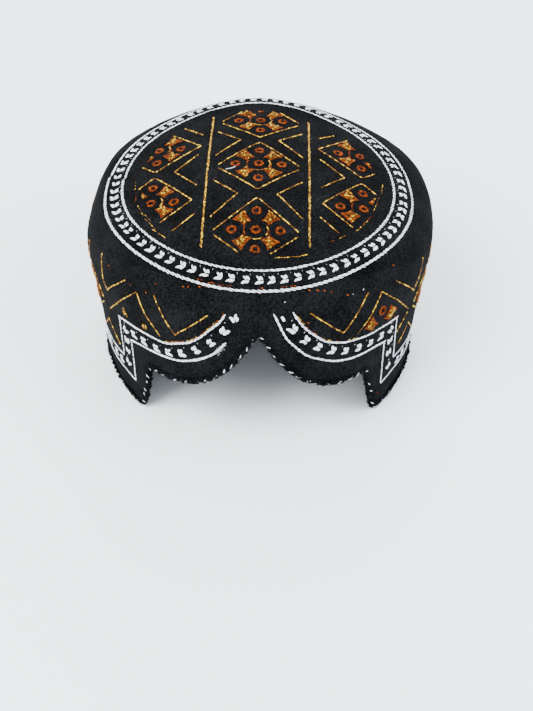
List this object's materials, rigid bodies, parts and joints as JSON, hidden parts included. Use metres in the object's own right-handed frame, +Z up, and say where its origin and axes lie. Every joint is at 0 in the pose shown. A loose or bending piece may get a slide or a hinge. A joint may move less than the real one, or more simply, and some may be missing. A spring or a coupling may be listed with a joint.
{
  "type": "sindhi cap",
  "caption": "Soft round embroidered cap: domed crown, open hollow wall on a level hem, front edge cut to two lobes meeting in a point.",
  "frame": {"origin": "on the surface that the hem rests on, in the middle of the cap's outline seen from above", "axes": "+Z up out of the crown, -Y toward the front opening of the hem, +X toward the wearer's left"},
  "size_m": [0.1778, 0.1828, 0.1065],
  "materials": {
    "black_cloth": "matte brushed cotton",
    "edging_yarn": "matte overcast yarn",
    "white_thread": "soft cotton thread",
    "gold_thread": "metallic wrapped thread",
    "orange_thread": "satin thread"
  },
  "bodies": {
    "root": {"crown": "black_cloth", "side_band": "black_cloth", "hem_edging": "edging_yarn"}
  },
  "joints": []
}
